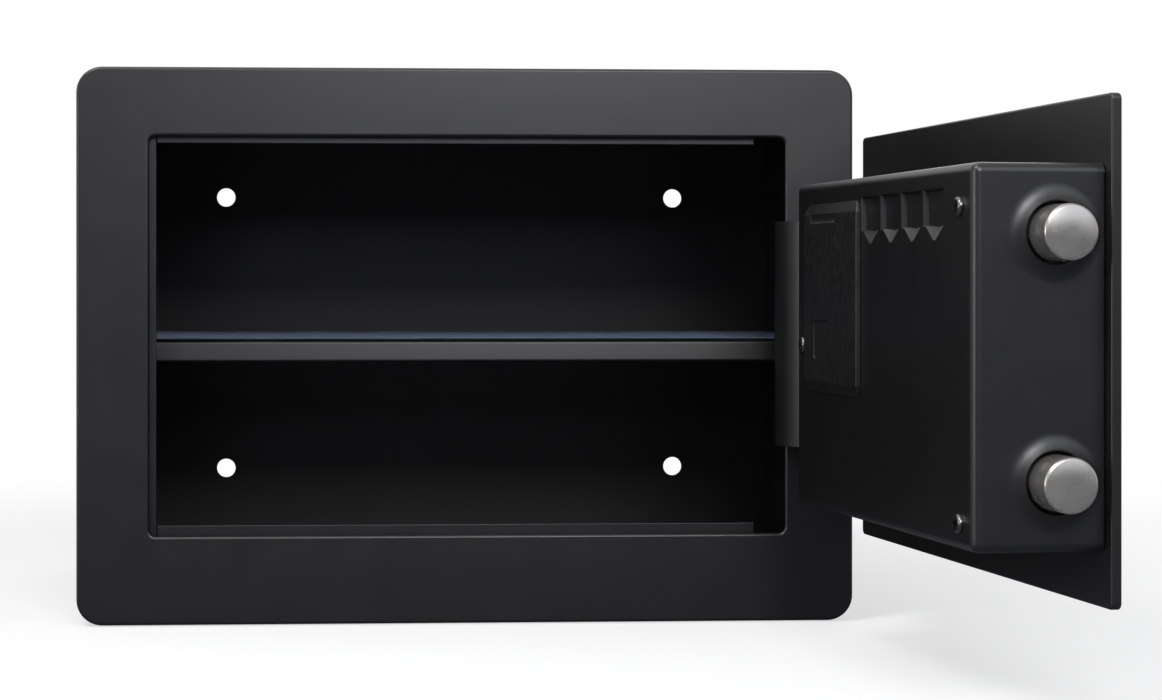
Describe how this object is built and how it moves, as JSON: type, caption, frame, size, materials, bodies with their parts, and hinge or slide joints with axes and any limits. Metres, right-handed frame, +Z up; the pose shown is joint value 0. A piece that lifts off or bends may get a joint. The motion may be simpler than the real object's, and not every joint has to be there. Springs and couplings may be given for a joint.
{
  "type": "electronic safe",
  "caption": "Small black steel safe with a keypad door on a hidden hinge, round locking bolts, an inner shelf and a lock box with a battery cover.",
  "frame": {"origin": "centre of the base, on the surface that the safe stands on", "axes": "+Z up, +Y from the door opening to the back, +X to the right seen from the front"},
  "size_m": [0.4092, 0.5578, 0.25],
  "materials": {
    "black_paint": "semi-matt black powder coat, fine orange peel",
    "zinc_steel": "bright zinc plate",
    "bolt_steel": "ground and plated round bar",
    "felt_mat": "thin blue-grey needle felt",
    "copper_coil": "lacquered copper wire",
    "dark_plastic": "fine satin moulded plastic",
    "board_green": "green solder mask",
    "green_lens": "tinted clear lens",
    "cell_sleeve": "printed-free shrink sleeve",
    "grey_ribbon": "flat ribbon cable",
    "knob_plastic": "satin moulded plastic",
    "brass": "turned brass",
    "red_plastic": "moulded push button",
    "key_plastic": "satin light grey"
  },
  "bodies": {
    "cabinet": {"body_shell": "black_paint", "front_frame": "black_paint", "back_panel": "black_paint", "stop_strip_top": "black_paint", "stop_strip_bottom": "black_paint", "stop_strip_left": "black_paint", "hinge_bracket_lower": "black_paint", "hinge_bracket_upper": "black_paint", "hinge_pin": "zinc_steel", "shelf": "black_paint", "shelf_mat": "felt_mat", "shelf_ledge_left": "black_paint", "shelf_ledge_right": "black_paint"},
    "door": {"door_plate": "black_paint", "hinge_arm": "black_paint", "lock_box": "black_paint", "box_screw_upper": "zinc_steel", "box_screw_lower": "zinc_steel", "box_screw_side": "zinc_steel", "bolt_guide_lower": "zinc_steel", "bolt_guide_upper": "zinc_steel", "box_bracket": "zinc_steel", "solenoid_frame": "zinc_steel", "solenoid_coil": "copper_coil", "keypad_panel": "dark_plastic", "keypad_board": "board_green", "indicator_light": "green_lens", "override_lock_body": "zinc_steel", "battery_tray": "dark_plastic", "circuit_board": "board_green", "battery_cell_1": "cell_sleeve", "battery_cell_2": "cell_sleeve", "battery_cell_3": "cell_sleeve", "battery_cell_4": "cell_sleeve", "keypad_cable": "grey_ribbon"},
    "bolt_work": {"bolt_bar": "zinc_steel", "bolt_lower": "bolt_steel", "bolt_upper": "bolt_steel"},
    "knob": {"knob": "knob_plastic", "knob_spindle": "zinc_steel", "knob_cam": "zinc_steel"},
    "plunger": {"solenoid_plunger": "zinc_steel"},
    "key_plug": {"override_plug": "brass", "override_cam": "zinc_steel"},
    "keyhole_cap": {"keyhole_cap": "dark_plastic"},
    "battery_lid": {"battery_lid": "dark_plastic"},
    "reset_button": {"reset_button": "red_plastic"},
    "key_1": {"key_1": "key_plastic"},
    "key_2": {"key_2": "key_plastic"},
    "key_3": {"key_3": "key_plastic"},
    "key_4": {"key_4": "key_plastic"},
    "key_5": {"key_5": "key_plastic"},
    "key_6": {"key_6": "key_plastic"},
    "key_7": {"key_7": "key_plastic"},
    "key_8": {"key_8": "key_plastic"},
    "key_9": {"key_9": "key_plastic"},
    "key_star": {"key_star": "key_plastic"},
    "key_0": {"key_0": "key_plastic"},
    "key_hash": {"key_hash": "key_plastic"}
  },
  "joints": [
    {"name": "door_hinge", "type": "hinge", "parent": "cabinet", "child": "door", "pos_m": [0.1665, -0.113, 0.1302], "axis": [0, 0, 1], "range_deg": [-96.6, 8.4]},
    {"name": "bolt_slide", "type": "slide", "parent": "door", "child": "bolt_work", "axis": [-0.1149, 0.9934, 0], "range_m": [0, 0.0155]},
    {"name": "knob_turn", "type": "hinge", "parent": "door", "child": "knob", "pos_m": [0.1991, -0.32516, 0.1192], "axis": [-0.9934, -0.1149, 0], "range_deg": [0, 90]},
    {"name": "plunger_slide", "type": "slide", "parent": "door", "child": "plunger", "axis": [-0.9934, -0.1149, 0], "range_m": [-0.005, 0]},
    {"name": "override_turn", "type": "hinge", "parent": "door", "child": "key_plug", "pos_m": [0.1991, -0.32516, 0.1592], "axis": [-0.9934, -0.1149, 0], "range_deg": [0, 90]},
    {"name": "keyhole_cap_pull", "type": "slide", "parent": "door", "child": "keyhole_cap", "axis": [0.9934, 0.1149, 0], "range_m": [0, 0.01]},
    {"name": "battery_lid_lift", "type": "slide", "parent": "door", "child": "battery_lid", "axis": [-0.9934, -0.1149, 0], "range_m": [0, 0.012]},
    {"name": "reset_press", "type": "slide", "parent": "door", "child": "reset_button", "axis": [0.9934, 0.1149, 0], "range_m": [0, 0.0012], "stiffness_N_per_m": 400},
    {"name": "key_1_press", "type": "slide", "parent": "door", "child": "key_1", "axis": [-0.9934, -0.1149, 0], "range_m": [0, 0.0012], "stiffness_N_per_m": 500},
    {"name": "key_2_press", "type": "slide", "parent": "door", "child": "key_2", "axis": [-0.9934, -0.1149, 0], "range_m": [0, 0.0012], "stiffness_N_per_m": 500},
    {"name": "key_3_press", "type": "slide", "parent": "door", "child": "key_3", "axis": [-0.9934, -0.1149, 0], "range_m": [0, 0.0012], "stiffness_N_per_m": 500},
    {"name": "key_4_press", "type": "slide", "parent": "door", "child": "key_4", "axis": [-0.9934, -0.1149, 0], "range_m": [0, 0.0012], "stiffness_N_per_m": 500},
    {"name": "key_5_press", "type": "slide", "parent": "door", "child": "key_5", "axis": [-0.9934, -0.1149, 0], "range_m": [0, 0.0012], "stiffness_N_per_m": 500},
    {"name": "key_6_press", "type": "slide", "parent": "door", "child": "key_6", "axis": [-0.9934, -0.1149, 0], "range_m": [0, 0.0012], "stiffness_N_per_m": 500},
    {"name": "key_7_press", "type": "slide", "parent": "door", "child": "key_7", "axis": [-0.9934, -0.1149, 0], "range_m": [0, 0.0012], "stiffness_N_per_m": 500},
    {"name": "key_8_press", "type": "slide", "parent": "door", "child": "key_8", "axis": [-0.9934, -0.1149, 0], "range_m": [0, 0.0012], "stiffness_N_per_m": 500},
    {"name": "key_9_press", "type": "slide", "parent": "door", "child": "key_9", "axis": [-0.9934, -0.1149, 0], "range_m": [0, 0.0012], "stiffness_N_per_m": 500},
    {"name": "key_star_press", "type": "slide", "parent": "door", "child": "key_star", "axis": [-0.9934, -0.1149, 0], "range_m": [0, 0.0012], "stiffness_N_per_m": 500},
    {"name": "key_0_press", "type": "slide", "parent": "door", "child": "key_0", "axis": [-0.9934, -0.1149, 0], "range_m": [0, 0.0012], "stiffness_N_per_m": 500},
    {"name": "key_hash_press", "type": "slide", "parent": "door", "child": "key_hash", "axis": [-0.9934, -0.1149, 0], "range_m": [0, 0.0012], "stiffness_N_per_m": 500}
  ],
  "couplings": [
    {"joint": "knob_turn", "follows": "bolt_slide", "rad_per_m": 101.34}
  ]
}
